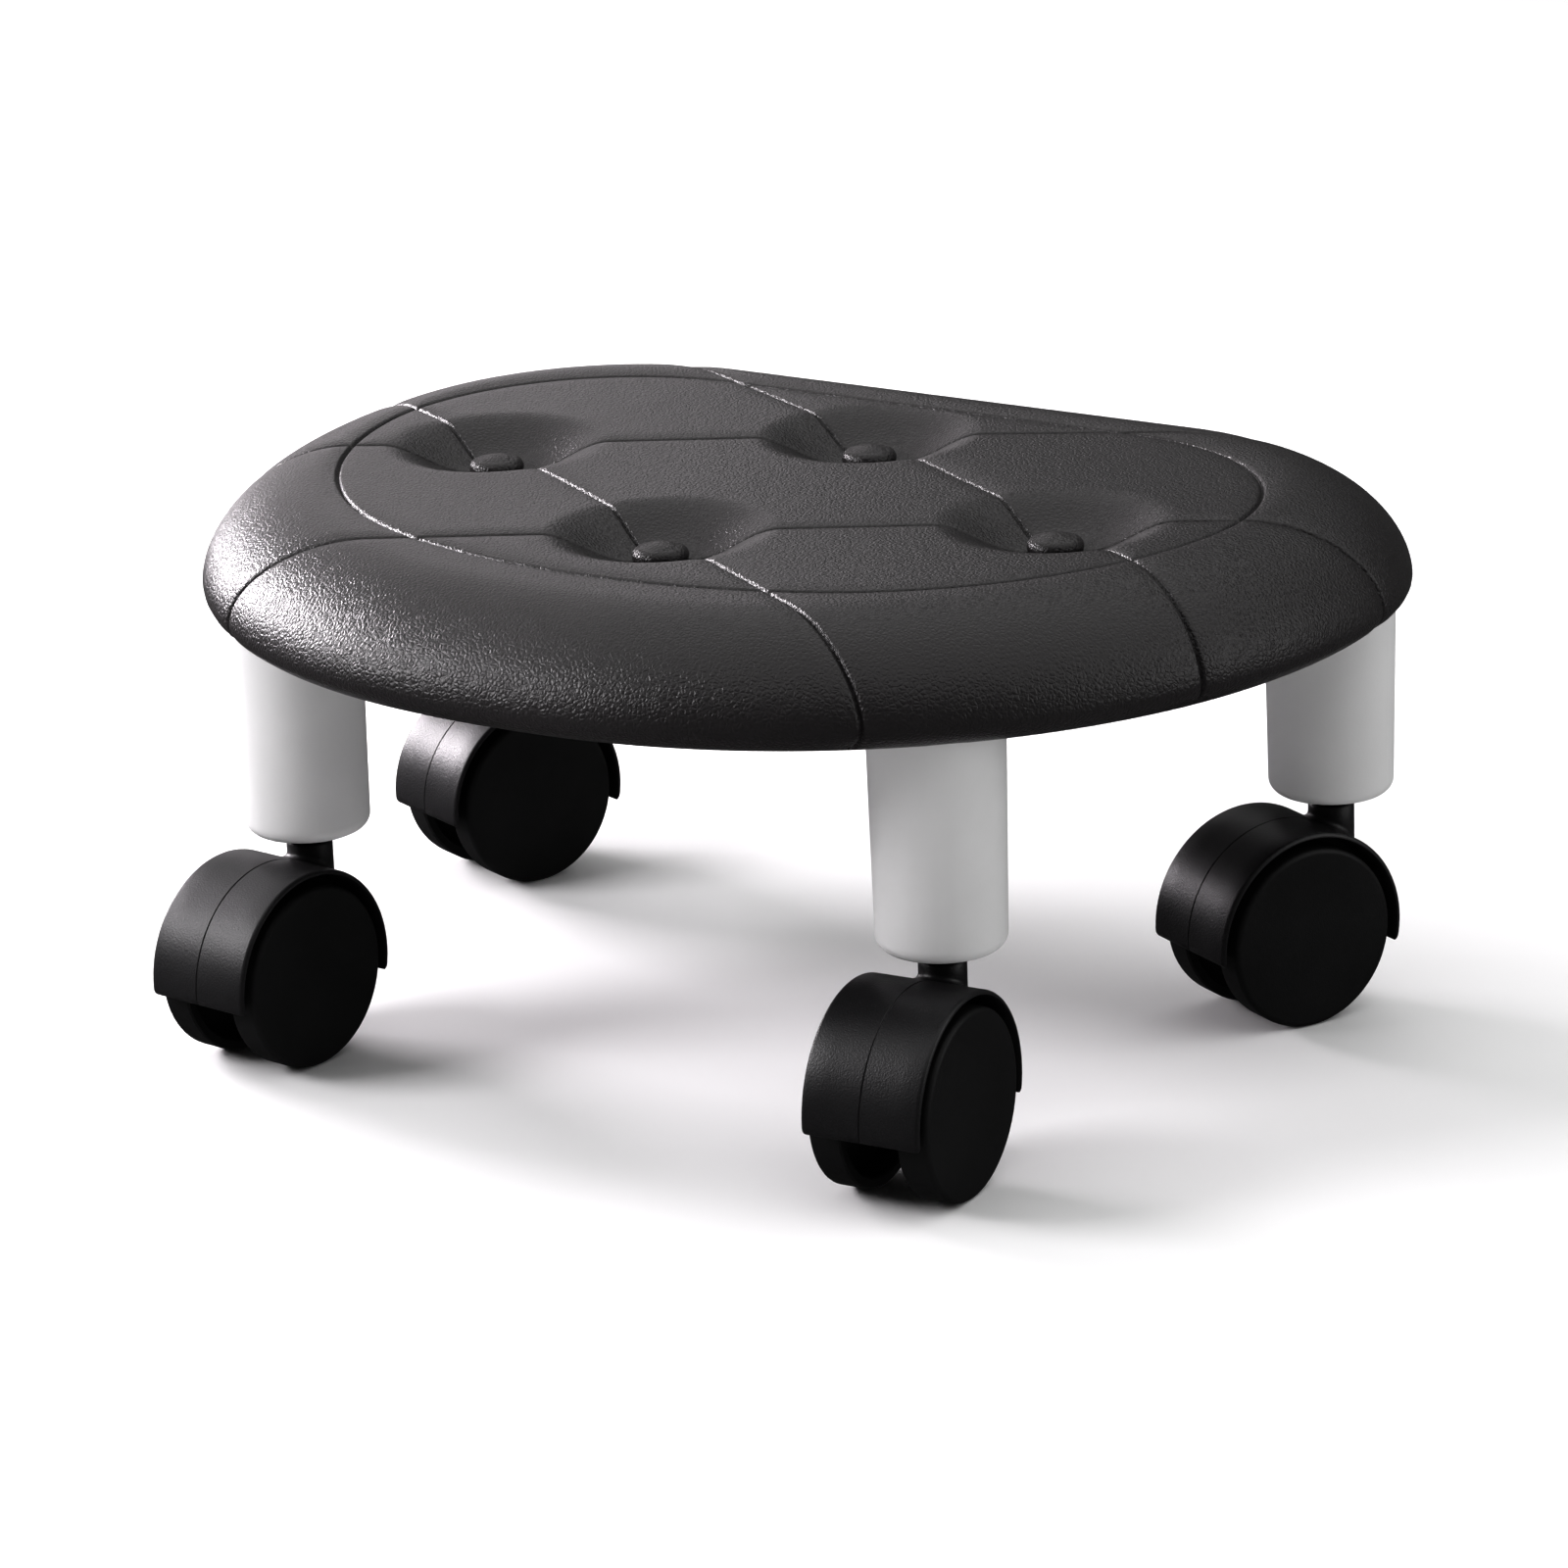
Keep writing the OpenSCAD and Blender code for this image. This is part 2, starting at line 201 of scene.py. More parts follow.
def d_curve(front_y, arcs, half_count):
    """Points and outward normals of a D-shaped curve, counter-clockwise from the middle of its front."""
    centres = arc_centres(front_y, arcs)
    spans = []
    start = 0.0
    for (radius, end), centre in zip(arcs, centres):
        spans.append((centre, radius, start, radius * (end - start)))
        start = end
    back_x = centres[-1][0]
    back_y = centres[-1][1] + arcs[-1][0]
    total = sum(span[3] for span in spans) + back_x
    points = []
    normals = []
    for i in range(half_count + 1):
        along = total * i / half_count
        for centre, radius, start, length in spans:
            if along <= length:
                normal = heading_vector(start + along / radius)
                points.append(centre + radius * normal)
                break
            along -= length
        else:
            normal = np.array([0.0, 1.0])
            points.append(np.array([back_x - along, back_y]))
        normals.append(normal)
    mirror = np.array([-1.0, 1.0])
    points += [p * mirror for p in points[-2:0:-1]]
    normals += [n * mirror for n in normals[-2:0:-1]]
    return np.array(points), np.array(normals)


def inset_of(xy):
    """Distance from the outline, inwards, of points in the rim's band."""
    front_c, side_c, corner_c = arc_centres(SEAT_LOW.y, OUTLINE)
    (front_r, front_turn), (side_r, side_end), (corner_r, _) = OUTLINE
    x = np.abs(xy[:, 0])
    y = xy[:, 1]
    side_turn = np.arctan2(x - side_c[0], side_c[1] - y)
    front_heading = np.arctan2(x, front_c[1] - y)
    side = side_r - np.hypot(x - side_c[0], y - side_c[1])
    corner = corner_r - np.hypot(x - corner_c[0], y - corner_c[1])
    front = front_r - np.hypot(x, y - front_c[1])
    inset = np.where(side_turn > side_end, corner, side)
    inset = np.where(front_heading < front_turn, front, inset)
    at_back = (x < corner_c[0]) & ((y > corner_c[1]) | (side_turn > side_end))
    return np.where(at_back, SEAT_HIGH.y - y, inset)


def rim_height(inset):
    """Height of the cushion's smooth upper surface at a distance in from the outline."""
    t = np.clip(1 - inset / RIM_W, 0.0, 1.0)
    return RIM_Z + RIM_H * (1 - t ** RIM_POWER) ** (1 / RIM_POWER)


# ---- Buttons' places ----

BUTTON_R = 7.5 * MM
BUTTONS_LOW, BUTTONS_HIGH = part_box("seat_buttons")
BUTTON_X = BUTTONS_HIGH.x - BUTTON_R
BUTTON_Y = (BUTTONS_HIGH.y - BUTTONS_LOW.y) / 2 - BUTTON_R
BUTTON_MID = (BUTTONS_HIGH.y + BUTTONS_LOW.y) / 2
RIGHT = np.array([BUTTON_X, BUTTON_MID])
LEFT = np.array([-BUTTON_X, BUTTON_MID])
BACK = np.array([0.0, BUTTON_MID + BUTTON_Y])
FRONT = np.array([0.0, BUTTON_MID - BUTTON_Y])
BUTTONS = (RIGHT, LEFT, BACK, FRONT)


# ---- Cushion ----

HALF_COUNT = 250            # points along half of the outline
INNER_ROWS = 44
RIM_STOP = 27 * MM          # where the rim's own rows end
BETWEEN_ROWS = 7
RIM_ROWS = 26
RIM_CROWDING = 1.15         # draws the rim's rows towards the outline
SKIRT_ROWS = 8
DIMPLE_IN = 8 * MM
DIMPLE_OUT = 31.5 * MM
DIMPLE_DEPTH = 8 * MM
SEAM_DEPTH = 0.95 * MM
SEAM_W = 0.55 * MM
PUFF_DEPTH = 0.45 * MM
PUFF_W = 3.2 * MM
TOP_SLOPE = 0.0135          # the top rises slightly towards the back
TOP_LEVEL_Y = 15 * MM       # where it has its nominal height
SEAM_OFFSETS = tuple(d * MM for d in (0.0, 0.25, 0.5, 0.8, 1.2, 1.8, 2.8, 4.2))
SEAM_NEAR = SEAM_OFFSETS[-1]
SEAM_MARGIN = 4 * MM        # faces this far beyond the last offset may be cut too
ARM_LENGTH = 130 * MM
RING_BAND = (25 * MM, 60 * MM)      # the ring seam's valley lies between these insets
# Each seam beyond its button: the button and the direction in which the seam leaves it.
ARMS = (
    (RIGHT, (1, 0.50)), (RIGHT, (1, -0.59)),
    (LEFT, (-1, 0.50)), (LEFT, (-1, -0.50)),
    (BACK, (1, 0.50)), (BACK, (-1, 0.50)),
    (FRONT, (1, -0.59)), (FRONT, (-1, -0.57)),
)


def seams():
    """Every straight stretch of seam, as its two ends."""
    stretches = [(side, end) for side in (RIGHT, LEFT) for end in (BACK, FRONT)]
    for start, way in ARMS:
        way = np.array(way) / math.hypot(*way)
        stretches.append((start, start + way * ARM_LENGTH))
    return stretches


def cushion_rows():
    """Rows of points from the middle of the top, out over the rim and under to the board."""
    points, normals = d_curve(SEAT_LOW.y, OUTLINE, HALF_COUNT)
    ring, ring_normals = d_curve(SEAT_LOW.y + RING_FRONT, RING, HALF_COUNT)
    middle = np.array([0.0, BUTTON_MID])
    plan = []
    for i in range(1, INNER_ROWS):
        plan.append(middle + (ring - ring_normals * SEAM_NEAR - middle) * i / INNER_ROWS)
    offsets = [-d for d in SEAM_OFFSETS[:0:-1]] + list(SEAM_OFFSETS)
    plan += [ring + ring_normals * d for d in offsets]
    outer = ring + ring_normals * SEAM_NEAR
    stop = points - normals * RIM_STOP
    plan += [outer + (stop - outer) * i / BETWEEN_ROWS for i in range(1, BETWEEN_ROWS)]
    for i in range(RIM_ROWS):
        a = math.pi / 2 * i / RIM_ROWS
        plan.append(points - normals * RIM_STOP * (1 - math.sin(a)) ** RIM_CROWDING)
    rows = [np.column_stack([xy, rim_height(inset_of(xy))]) for xy in plan]
    low = []
    for i in range(SKIRT_ROWS + 1):
        a = math.pi / 2 * i / SKIRT_ROWS
        low.append((SKIRT_IN * (1 - math.cos(a)), RIM_Z - SKIRT_H * math.sin(a)))
    low += [(BOARD_IN, SEAT_LOW.z), (BOARD_IN, BOARD_TOP)]
    for inset, z in low:
        xy = points - normals * inset
        rows.append(np.column_stack([xy, np.full(len(xy), z)]))
    return middle, rows


def cushion_blank():
    """The smooth cushion, closed above the board."""
    middle, rows = cushion_rows()
    n = len(rows[0])
    top = (middle[0], middle[1], SEAT_TOP)
    bottom = (middle[0], middle[1], BOARD_TOP)
    verts = [top] + [tuple(p) for row in rows for p in row] + [bottom]
    last = len(verts) - 1
    faces = []
    for i in range(n):
        j = (i + 1) % n
        faces.append((0, 1 + i, 1 + j))
        for k in range(len(rows) - 1):
            a = 1 + k * n
            b = a + n
            faces.append((a + i, b + i, b + j, a + j))
        a = 1 + (len(rows) - 1) * n
        faces.append((a + i, last, a + j))
    return verts, faces


def cut_along(mesh, start, end):
    """Cuts edge loops beside a straight seam, so that its groove has real geometry."""
    run = end - start
    length = math.hypot(*run)
    way = run / length
    normal = np.array([-way[1], way[0]])
    reach = SEAM_NEAR + SEAM_MARGIN
    faces = []
    for face in mesh.faces:
        centre = face.calc_center_median()
        x = centre.x - start[0]
        y = centre.y - start[1]
        along = x * way[0] + y * way[1]
        if abs(x * normal[0] + y * normal[1]) < reach and -reach < along < length + reach:
            faces.append(face)
    edges = {edge for face in faces for edge in face.edges}
    verts = {vert for face in faces for vert in face.verts}
    geometry = faces + list(edges) + list(verts)
    for d in SEAM_OFFSETS:
        for side in ((1, -1) if d else (1,)):
            at = start + normal * side * d
            cut = bmesh.ops.bisect_plane(
                mesh,
                geom=geometry,
                plane_co=(at[0], at[1], 0.0),
                plane_no=(normal[0], normal[1], 0.0),
                dist=0.02 * MM,
            )
            geometry = cut["geom"]


def from_stretch(xy, start, end):
    """Distance in plan from a straight stretch."""
    run = end - start
    t = np.clip((xy - start) @ run / (run @ run), 0.0, 1.0)
    return np.linalg.norm(xy - start - t[:, None] * run, axis=1)


def from_ring(xy):
    """Distance in plan from the ring seam."""
    ring, _ = d_curve(SEAT_LOW.y + RING_FRONT, RING, 4 * HALF_COUNT)
    away = np.full(len(xy), 1.0)
    inset = inset_of(xy)
    near = np.flatnonzero((inset > RING_BAND[0]) & (inset < RING_BAND[1]))
    for group in np.array_split(near, max(1, len(near) // 2000)):
        gap = xy[group][:, None, :] - ring[None, :, :]
        away[group] = np.sqrt((gap ** 2).sum(axis=2).min(axis=1))
    return away


def groove(d):
    """Depth of a seam at a distance from its line: a sharp crease in a soft valley."""
    return SEAM_DEPTH * np.exp(-(d / SEAM_W) ** 2) + PUFF_DEPTH * np.exp(-(d / PUFF_W) ** 2)


def top_rise(xy, z):
    """How far the top's slope lifts a point, fading out down the rim."""
    share = np.clip((z - RIM_Z) / RIM_H, 0.0, 1.0)
    return (xy[:, 1] - TOP_LEVEL_Y) * TOP_SLOPE * share


def press(co, normal):
    """Moves the cushion's surface in along its normals at the seams and down at the buttons."""
    xy = co[:, :2]
    away = from_ring(xy)
    for start, end in seams():
        away = np.minimum(away, from_stretch(xy, start, end))
    outside = (normal[:, 2] > -0.9) & (co[:, 2] > SEAT_LOW.z + 0.1 * MM)
    out = co - normal * np.where(outside, groove(away), 0.0)[:, None]
    for button in BUTTONS:
        r = np.hypot(xy[:, 0] - button[0], xy[:, 1] - button[1])
        fall = 1 - smoothstep(DIMPLE_IN, DIMPLE_OUT, r)
        out[:, 2] -= np.where(co[:, 2] > RIM_Z + 5 * MM, DIMPLE_DEPTH * fall, 0.0)
    out[:, 2] += top_rise(xy, co[:, 2])
    return out


def make_cushion():
    """The cushion's mesh: a smooth blank, cut along its seams and pressed in."""
    obj = add_mesh("seat_cushion_leather", *cushion_blank())
    mesh = bmesh.new()
    mesh.from_mesh(obj.data)
    bmesh.ops.recalc_face_normals(mesh, faces=mesh.faces[:])
    for start, end in seams():
        cut_along(mesh, start, end)
    bmesh.ops.triangulate(mesh, faces=[f for f in mesh.faces if len(f.verts) > 4])
    mesh.normal_update()
    co = np.array([v.co for v in mesh.verts])
    normal = np.array([v.normal for v in mesh.verts])
    for v, p in zip(mesh.verts, press(co, normal)):
        v.co = p
    mesh.to_mesh(obj.data)
    mesh.free()
    keep_creases(obj, 60)
    obj.data.materials.append(leather("seat_leather_mat"))
    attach(obj, ROOT)
    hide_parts("seat_cushion")


# ---- Buttons ----

CAP_Z = SEAT_TOP - DIMPLE_DEPTH - 1 * MM
SHANK_R = 2.4 * MM


def button_profile():
    """A mushroom cap: a low dome, a round shoulder, and an edge tucked under."""
    shoulder = 2.4 * MM
    crown = 0.9 * MM
    height = CAP_Z + 5.4 * MM
    flat = BUTTON_R - shoulder
    profile = [(0.0, height)]
    for i in range(1, 5):
        x = i / 5
        profile.append((flat * x, height - crown * x * x))
    profile += arc((flat, height - crown - shoulder), shoulder, 90, -40, 10)
    profile += [(SHANK_R + 1 * MM, CAP_Z), (0.0, CAP_Z)]
    return profile


def shank_profile():
    """A straight shank with a barb at its lower end."""
    low = BUTTONS_LOW.z
    barb = SHANK_R + 1 * MM
    return [
        (0.0, CAP_Z + 0.5 * MM), (SHANK_R, CAP_Z + 0.5 * MM), (SHANK_R, low + 2 * MM),
        (barb, low + 1.9 * MM), (barb, low + 1.5 * MM), (SHANK_R * 0.7, low), (0.0, low),
    ]


def make_buttons(plastic):
    """Caps and shanks, each set where the sloping top has its dimple."""
    rises = top_rise(np.array(BUTTONS), SEAT_TOP)
    places = [Matrix.Translation((x, y, rise)) for (x, y), rise in zip(BUTTONS, rises)]
    caps = joined([moved(lathe(button_profile(), 48), place) for place in places])
    shanks = joined([moved(lathe(shank_profile(), 24), place) for place in places])
    piece("seat_button_caps", caps, leather("button_leather_mat"), ROOT, "seat_buttons",
          crease=70)
    piece("seat_button_shanks", shanks, plastic, ROOT, "seat_buttons")


# ---- Casters ----

WHEEL_R = 25 * MM
WHEEL_OUT = 17.3 * MM       # outer face, from the middle of the axle
WHEEL_IN = 8 * MM
HOOD_R = 29.2 * MM
HOOD_HALF = 16.5 * MM
HOOD_DROP = 4.5 * MM        # the hood's open edge below the axle
HOOD_TILT = math.radians(4)
NECK_R = 6.25 * MM
NECK_GAP = 0.3 * MM
COLLAR_H = 3 * MM
FILLET = 2.2 * MM
HOOD_STEPS = 72
HOOD_WALL = 28.1 * MM       # middle radius of the shell
HOOD_IN = 27.1 * MM         # inner radius of the shell
AXLE_BORE = 3.05 * MM


def caster_space(corner):
    """A caster's own axes: origin in the middle of its axle, X along the trail, Y along the axle."""
    swivel = Vector(JOINTS[f"swivel_{corner}"]["pos_m"])
    axle = Vector(JOINTS[f"spin_outer_{corner}"]["pos_m"])
    trail = Vector((axle.x - swivel.x, axle.y - swivel.y, 0))
    way = trail.normalized()
    space = Matrix(((way.x, -way.y, 0, axle.x), (way.y, way.x, 0, axle.y), (0, 0, 1, axle.z), (0, 0, 0, 1)))
    return space, trail.length, swivel.z - axle.z


def hood_section():
    """Section of the hood's shell as (across, radius): thin at its sides, with a moulding line on top."""
    edge = 1.1 * MM
    side = arc((HOOD_HALF - edge, HOOD_R - edge), edge, 90, 0, 5)
    lip = [(HOOD_HALF, 28.0 * MM), (HOOD_HALF - 0.3 * MM, 27.8 * MM), (12 * MM, 27.5 * MM)]
    inner = [(7 * MM, HOOD_IN), (0.0, HOOD_IN)]
    line = [(0.0, HOOD_R - 0.22 * MM), (0.25 * MM, HOOD_R), (5 * MM, HOOD_R), (10 * MM, HOOD_R)]
    half = line + side + lip + inner
    return half + [(-y, r) for y, r in half[-2:0:-1]]


def edge_angles(radius):
    """The shell's first and last angle at a radius, where its tilted open edge cuts it."""
    drop = math.asin(HOOD_DROP * math.cos(HOOD_TILT) / radius)
    return HOOD_TILT - drop, math.pi + HOOD_TILT + drop


def hood_shell():
    """The hood's arched shell: its section swept round the axle, rounded off at both open edges."""
    section = hood_section()
    n = len(section)
    soft = 0.8 * MM
    ends = [(0.0, 0.45), (0.004, 0.75), (0.01, 0.95), (0.02, 1.0)]
    steps = ends + [(i / HOOD_STEPS, 1.0) for i in range(3, HOOD_STEPS - 2)]
    steps += [(1 - t, s) for t, s in ends[::-1]]
    verts = []
    for t, scale in steps:
        for y, radius in section:
            r = HOOD_WALL + (radius - HOOD_WALL) * scale
            start, end = edge_angles(r)
            a = start + (end - start) * t
            across = y - math.copysign(soft * (1 - scale), y) if abs(y) > 1 * MM else y
            verts.append((r * math.cos(a), across, r * math.sin(a)))
    faces = []
    for k in range(len(steps) - 1):
        for i in range(n):
            j = (i + 1) % n
            faces.append((k * n + i, k * n + j, (k + 1) * n + j, (k + 1) * n + i))
    half = n // 2
    for first in (0, (len(steps) - 1) * n):
        faces += [(first + i, first + i + 1, first + n - i - 1, first + (n - i) % n) for i in range(half)]
    return verts, faces


def hood_web():
    """The wall between the wheels, with the boss around the axle."""
    radius = 27.4 * MM
    front = 8 * MM
    boss = 7 * MM
    slope = math.tan(HOOD_TILT)
    first = math.degrees(math.acos(front / radius))
    last = math.degrees(edge_angles(radius)[1])
    boss_first = math.degrees(edge_angles(boss)[1])
    boss_last = math.degrees(edge_angles(boss)[0]) + 360
    outline = arc((0, 0), radius, first, last, 40) + arc((0, 0), boss, boss_first, boss_last, 16)
    outline.append((front, -HOOD_DROP + front * slope))
    n = len(outline)
    layers = ((-6.0, 0.985), (-5.6, 1.0), (5.6, 1.0), (6.0, 0.985))
    verts = [(x * scale, y * MM, z * scale) for y, scale in layers for x, z in outline]
    faces = [tuple(range(n)), tuple(range(3 * n, 4 * n))]
    for k in range(3):
        for i in range(n):
            j = (i + 1) % n
            faces.append((k * n + i, k * n + j, (k + 1) * n + j, (k + 1) * n + i))
    return verts, faces


def hood_neck(trail, top):
    """The neck, with a fillet that follows the arched shell around its foot."""
    segments = 56
    steps = 8
    sunk = 0.06 * MM
    chamfer = 0.5 * MM
    rows = []
    for k in range(steps + 1):
        a = math.pi / 2 * k / steps
        rows.append((NECK_R + FILLET * (1 - math.sin(a)), FILLET * (1 - math.cos(a)) - sunk))
    verts = []
    for reach, rise in rows:
        for i in range(segments):
            a = 2 * math.pi * i / segments
            x = reach * math.cos(a) - trail
            arch = math.sqrt(HOOD_R ** 2 - x ** 2)
            verts.append((x, reach * math.sin(a), min(arch + rise, top - 0.8 * MM)))
    for reach, z in ((NECK_R, top - chamfer), (NECK_R - 0.4 * MM, top)):
        for i in range(segments):
            a = 2 * math.pi * i / segments
            verts.append((reach * math.cos(a) - trail, reach * math.sin(a), z))
    count = len(rows) + 2
    faces = [tuple(range((count - 1) * segments, count * segments)), tuple(range(segments))]
    for k in range(count - 1):
        for i in range(segments):
            j = (i + 1) % segments
            a = k * segments
            b = a + segments
            faces.append((a + i, a + j, b + j, b + i))
    return verts, faces


def wheel_profile():
    """Half section of a wheel as (radius, distance out along the axle)."""
    edge = 1.5 * MM
    face = WHEEL_OUT - 0.2 * MM
    disc = 2.2 * MM
    rim = 3 * MM
    hub = 6.5 * MM
    hub_in = 6.3 * MM
    bore_end = 14.4 * MM
    small = 0.5 * MM
    profile = [(0.0, WHEEL_OUT), (8 * MM, WHEEL_OUT - 0.03 * MM), (16 * MM, WHEEL_OUT - 0.1 * MM)]
    profile += arc((WHEEL_R - edge, face - edge), edge, 90, 0, 8)
    profile += [(WHEEL_R, WHEEL_IN + small), (WHEEL_R - small, WHEEL_IN)]
    profile += [(WHEEL_R - rim + small, WHEEL_IN), (WHEEL_R - rim, WHEEL_IN + small)]
    profile += [(WHEEL_R - rim, WHEEL_OUT - disc), (hub, WHEEL_OUT - disc)]
    profile += [(hub, hub_in + small), (hub - small, hub_in), (AXLE_BORE, hub_in)]
    profile += [(AXLE_BORE, bore_end), (0.0, bore_end)]
    return profile


def make_casters(hood_plastic, wheel_plastic):
    """A hood and two wheels for each corner, laid out in the caster's own axes."""
    for corner in CORNERS:
        space, trail, rise = caster_space(corner)
        top = rise - COLLAR_H - NECK_GAP
        hood = joined([hood_shell(), hood_web(), hood_neck(trail, top)])
        piece(f"hood_shell_{corner}", moved(hood, space), hood_plastic, f"caster_{corner}",
              f"hood_{corner}", crease=40)
        for side, turn in (("outer", -90), ("inner", 90)):
            place = space @ Matrix.Rotation(math.radians(turn), 4, "X")
            wheel = moved(lathe(wheel_profile(), 96), place)
            piece(f"wheel_{side}_disc_{corner}", wheel, wheel_plastic, f"wheel_{side}_{corner}",
                  f"wheel_{side}_{corner}", crease=30)


# ---- Materials ----

def new_material(name):
    mat = bpy.data.materials.new(name)
    mat.use_nodes = True
    tree = mat.node_tree
    shader = next(n for n in tree.nodes if n.type == "BSDF_PRINCIPLED")
    return mat, tree, shader


def add(tree, kind, **values):
    node = tree.nodes.new(kind)
    for key, value in values.items():
        if key in node.inputs:
            node.inputs[key].default_value = value
        else:
            setattr(node, key, value)
    return node


def textured(tree, kind, place, **values):
    node = add(tree, kind, **values)
    tree.links.new(place, node.inputs["Vector"])
    return node


def object_coordinates(tree):
    return add(tree, "ShaderNodeTexCoord").outputs["Object"]


def ramp(tree, source, stops):
    node = add(tree, "ShaderNodeValToRGB")
    elements = node.color_ramp.elements
    for element, (place, colour) in zip(elements, (stops[0], stops[-1])):
        element.position = place
        element.color = (*colour, 1)
    for place, colour in stops[1:-1]:
        elements.new(place).color = (*colour, 1)
    tree.links.new(source, node.inputs["Fac"])
    return node.outputs["Color"]


def span(tree, source, low, high, source_low=0.0, source_high=1.0):
    node = add(tree, "ShaderNodeMapRange")
    node.inputs["From Min"].default_value = source_low
    node.inputs["From Max"].default_value = source_high
    node.inputs["To Min"].default_value = low
    node.inputs["To Max"].default_value = high
    tree.links.new(source, node.inputs["Value"])
    return node.outputs["Result"]


def bump(tree, height, distance, strength, after=None):
    node = add(tree, "ShaderNodeBump")
    node.inputs["Distance"].default_value = distance
    node.inputs["Strength"].default_value = strength
    tree.links.new(height, node.inputs["Height"])
    if after is not None:
        tree.links.new(after, node.inputs["Normal"])
    return node.outputs["Normal"]


def leather(name):
    """Dark satin skin: pebbles with creases between them, finer pores, and a cloudy tint."""
    mat, tree, shader = new_material(name)
    place = object_coordinates(tree)
    link = tree.links.new
    wander = textured(tree, "ShaderNodeTexNoise", place, Scale=260.0, Detail=2.0)
    bend = add(tree, "ShaderNodeVectorMath", operation="MULTIPLY_ADD")
    bend.inputs[1].default_value = (0.0009, 0.0009, 0.0009)
    link(wander.outputs["Color"], bend.inputs[0])
    link(place, bend.inputs[2])
    cells = textured(tree, "ShaderNodeTexVoronoi", bend.outputs["Vector"], Scale=760.0,
                     feature="DISTANCE_TO_EDGE")
    fine = textured(tree, "ShaderNodeTexNoise", place, Scale=1700.0, Detail=3.0)
    cloud = textured(tree, "ShaderNodeTexNoise", place, Scale=11.0, Detail=5.0)
    colour = ramp(tree, cloud.outputs["Fac"], [
        (0.30, (0.026, 0.0236, 0.0247)),
        (0.50, (0.030, 0.0280, 0.0286)),
        (0.70, (0.034, 0.0312, 0.0322)),
    ])
    link(colour, shader.inputs["Base Color"])
    link(span(tree, cloud.outputs["Fac"], 0.29, 0.36, 0.3, 0.7), shader.inputs["Roughness"])
    pebble = span(tree, cells.outputs["Distance"], 0.0, 1.0, 0.0, 0.3)
    grain = bump(tree, pebble, 0.00014, 0.7)
    grain = bump(tree, fine.outputs["Fac"], 0.00020, 0.7, grain)
    link(grain, shader.inputs["Normal"])
    shader.inputs["Specular IOR Level"].default_value = 0.42
    return mat


def moulded_plastic(name, dark, light, rough, grain_size, grain_depth, gloss=0.5):
    """Plastic with a slight cloudiness and a fine moulded grain."""
    mat, tree, shader = new_material(name)
    place = object_coordinates(tree)
    link = tree.links.new
    cloud = textured(tree, "ShaderNodeTexNoise", place, Scale=30.0, Detail=4.0)
    grain = textured(tree, "ShaderNodeTexNoise", place, Scale=1.0 / grain_size, Detail=2.0)
    link(ramp(tree, cloud.outputs["Fac"], [(0.3, dark), (0.7, light)]), shader.inputs["Base Color"])
    link(span(tree, cloud.outputs["Fac"], rough - 0.04, rough + 0.05, 0.3, 0.7), shader.inputs["Roughness"])
    link(bump(tree, grain.outputs["Fac"], grain_depth, 0.6), shader.inputs["Normal"])
    shader.inputs["Specular IOR Level"].default_value = gloss
    return mat


def metal(name, colour, rough):
    """Metal with fine uneven scuffs."""
    mat, tree, shader = new_material(name)
    place = object_coordinates(tree)
    link = tree.links.new
    scratch = textured(tree, "ShaderNodeTexNoise", place, Scale=600.0, Detail=3.0)
    darker = tuple(c * 0.8 for c in colour)
    link(ramp(tree, scratch.outputs["Fac"], [(0.3, darker), (0.7, colour)]), shader.inputs["Base Color"])
    link(span(tree, scratch.outputs["Fac"], rough, rough + 0.15), shader.inputs["Roughness"])
    link(bump(tree, scratch.outputs["Fac"], 0.00002, 0.3), shader.inputs["Normal"])
    shader.inputs["Metallic"].default_value = 1.0
    return mat


def dress(node, material):
    """Gives a CAD node its material."""
    data = frame["nodes"][node].data
    data.materials.clear()
    data.materials.append(material)


def dress_cad_nodes(board, caster):
    """Materials for the CAD nodes that are shown as they are."""
    legs = moulded_plastic("leg_plastic_mat", (0.55, 0.55, 0.55), (0.59, 0.59, 0.59),
                           rough=0.45, grain_size=0.0006, grain_depth=0.00004, gloss=0.3)
    black_steel = metal("black_steel_mat", (0.012, 0.012, 0.013), 0.4)
    zinc = metal("zinc_steel_mat", (0.62, 0.63, 0.64), 0.28)
    dress("seat_board", board)
    for node in ("leg_t_nuts", "leg_studs"):
        dress(node, zinc)
    for corner in CORNERS:
        dress(f"leg_{corner}", legs)
        dress(f"socket_{corner}", caster)
        dress(f"stem_{corner}", black_steel)
        dress(f"grip_ring_{corner}", zinc)
        dress(f"axle_{corner}", zinc)


# ---- Studio ----

def make_floor():
    """A pale floor that glossy surfaces don't mirror, so that the rim's underside stays dark."""
    size = 6.0
    floor = add_mesh("floor", [(-size, -size, 0), (size, -size, 0), (size, size, 0), (-size, size, 0)],
                     [(0, 1, 2, 3)], smooth=False)
    mat, _, shader = new_material("floor_mat")
    shader.inputs["Base Color"].default_value = (0.92, 0.92, 0.92, 1)
    shader.inputs["Roughness"].default_value = 0.8
    shader.inputs["Specular IOR Level"].default_value = 0.1
    floor.data.materials.append(mat)
    floor.visible_glossy = False


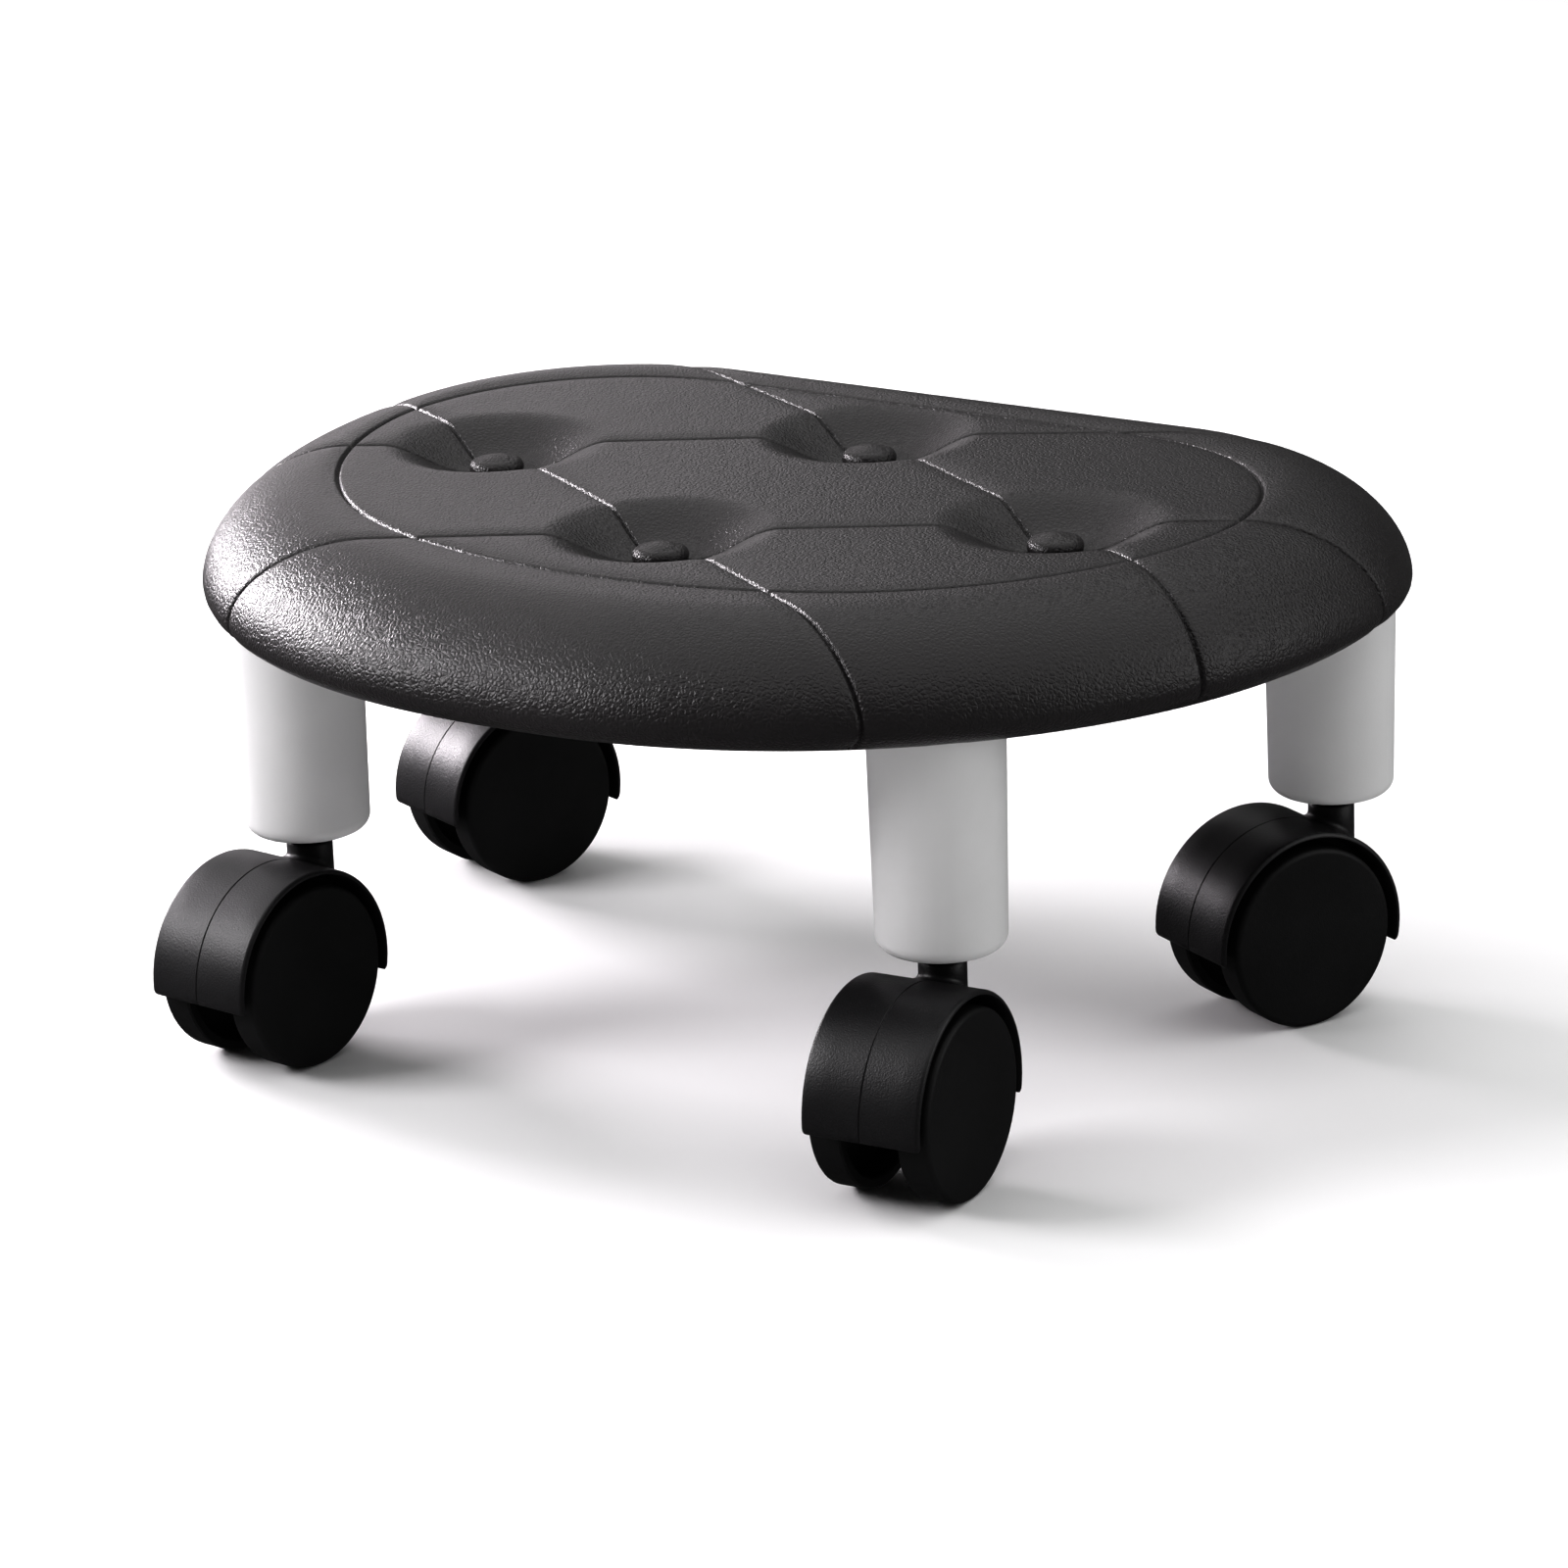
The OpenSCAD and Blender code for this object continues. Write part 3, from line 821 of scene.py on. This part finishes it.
def area_light(name, place, target, size, power, colour):
    data = bpy.data.lights.new(name, "AREA")
    data.shape = "RECTANGLE"
    data.size, data.size_y = size
    data.energy = power
    data.color = colour
    light = bpy.data.objects.new(name, data)
    light.location = place
    aim = Vector(target) - Vector(place)
    light.rotation_euler = aim.to_track_quat("-Z", "Y").to_euler()
    bpy.context.scene.collection.objects.link(light)


def make_world():
    """Plain colours with firm contrast, and a dim even surrounding."""
    view = bpy.context.scene.view_settings
    view.view_transform = "Standard"
    view.look = "High Contrast"
    world = bpy.data.worlds.new("studio")
    world.use_nodes = True
    background = world.node_tree.nodes["Background"]
    background.inputs["Color"].default_value = (1, 1, 1, 1)
    background.inputs["Strength"].default_value = 0.07
    bpy.context.scene.world = world


def make_lights():
    """A low key and a panel at the left, a front and a side fill, and a wide light overhead."""
    middle = (0, 0, 0.1)
    area_light("key", (-1.05, 0.1, 0.38), middle, (0.45, 0.22), 10, (1.0, 0.95, 0.99))
    area_light("back panel", (-1.6, 1.1, 0.45), middle, (1.6, 0.8), 3.5, (1.0, 0.95, 0.98))
    area_light("front", (-0.8, -0.7, 0.65), middle, (0.5, 0.4), 8, (1.0, 0.98, 1.0))
    area_light("side", (1.5, 0.5, 0.6), middle, (1.4, 1.0), 6.5, (1.0, 1.0, 1.0))
    area_light("overhead", (-0.3, 1.2, 3.0), (-0.3, 1.2, 0.0), (7.0, 7.0), 130, (1.0, 1.0, 1.0))


make_camera()
make_floor()
make_world()
make_lights()
make_cushion()
board_plastic = moulded_plastic("board_plastic_mat", (0.030, 0.030, 0.031), (0.045, 0.044, 0.045),
                                rough=0.55, grain_size=0.0008, grain_depth=0.00006)
caster_plastic = moulded_plastic("caster_plastic_mat", (0.014, 0.0135, 0.0145), (0.020, 0.0195, 0.0205),
                                 rough=0.40, grain_size=0.0005, grain_depth=0.00012, gloss=0.45)
wheel_plastic = moulded_plastic("wheel_plastic_mat", (0.013, 0.013, 0.0133), (0.018, 0.018, 0.0184),
                                rough=0.5, grain_size=0.0004, grain_depth=0.00006, gloss=0.25)
make_buttons(board_plastic)
make_casters(caster_plastic, wheel_plastic)
dress_cad_nodes(board_plastic, caster_plastic)
